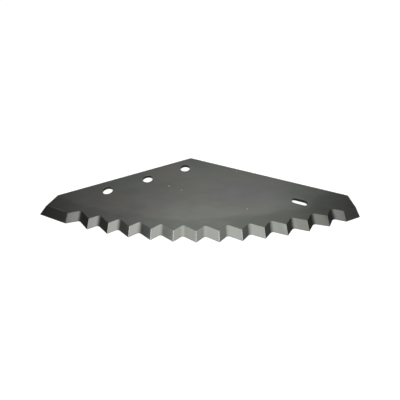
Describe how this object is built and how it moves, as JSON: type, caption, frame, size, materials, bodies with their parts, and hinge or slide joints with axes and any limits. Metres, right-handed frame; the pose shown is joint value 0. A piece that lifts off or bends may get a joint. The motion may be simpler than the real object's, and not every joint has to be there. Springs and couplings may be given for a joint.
{
  "type": "feed mixer knife",
  "caption": "Flat steel knife with a curved, notched and ground cutting edge, bolted to the auger of a livestock feed mixer to chop bales and mix feed.",
  "frame": {"origin": "middle of the plate's plan box, on its flat underside", "axes": "+Z out of the bevelled upper face, +X along the knife towards its slotted end, +Y from the cutting edge towards the back apex"},
  "size_m": [0.4806, 0.1854, 0.005],
  "materials": {
    "blade_steel": "dark hardened steel plate with a brighter ground bevel"
  },
  "bodies": {
    "root": {"root": "blade_steel"}
  },
  "joints": []
}
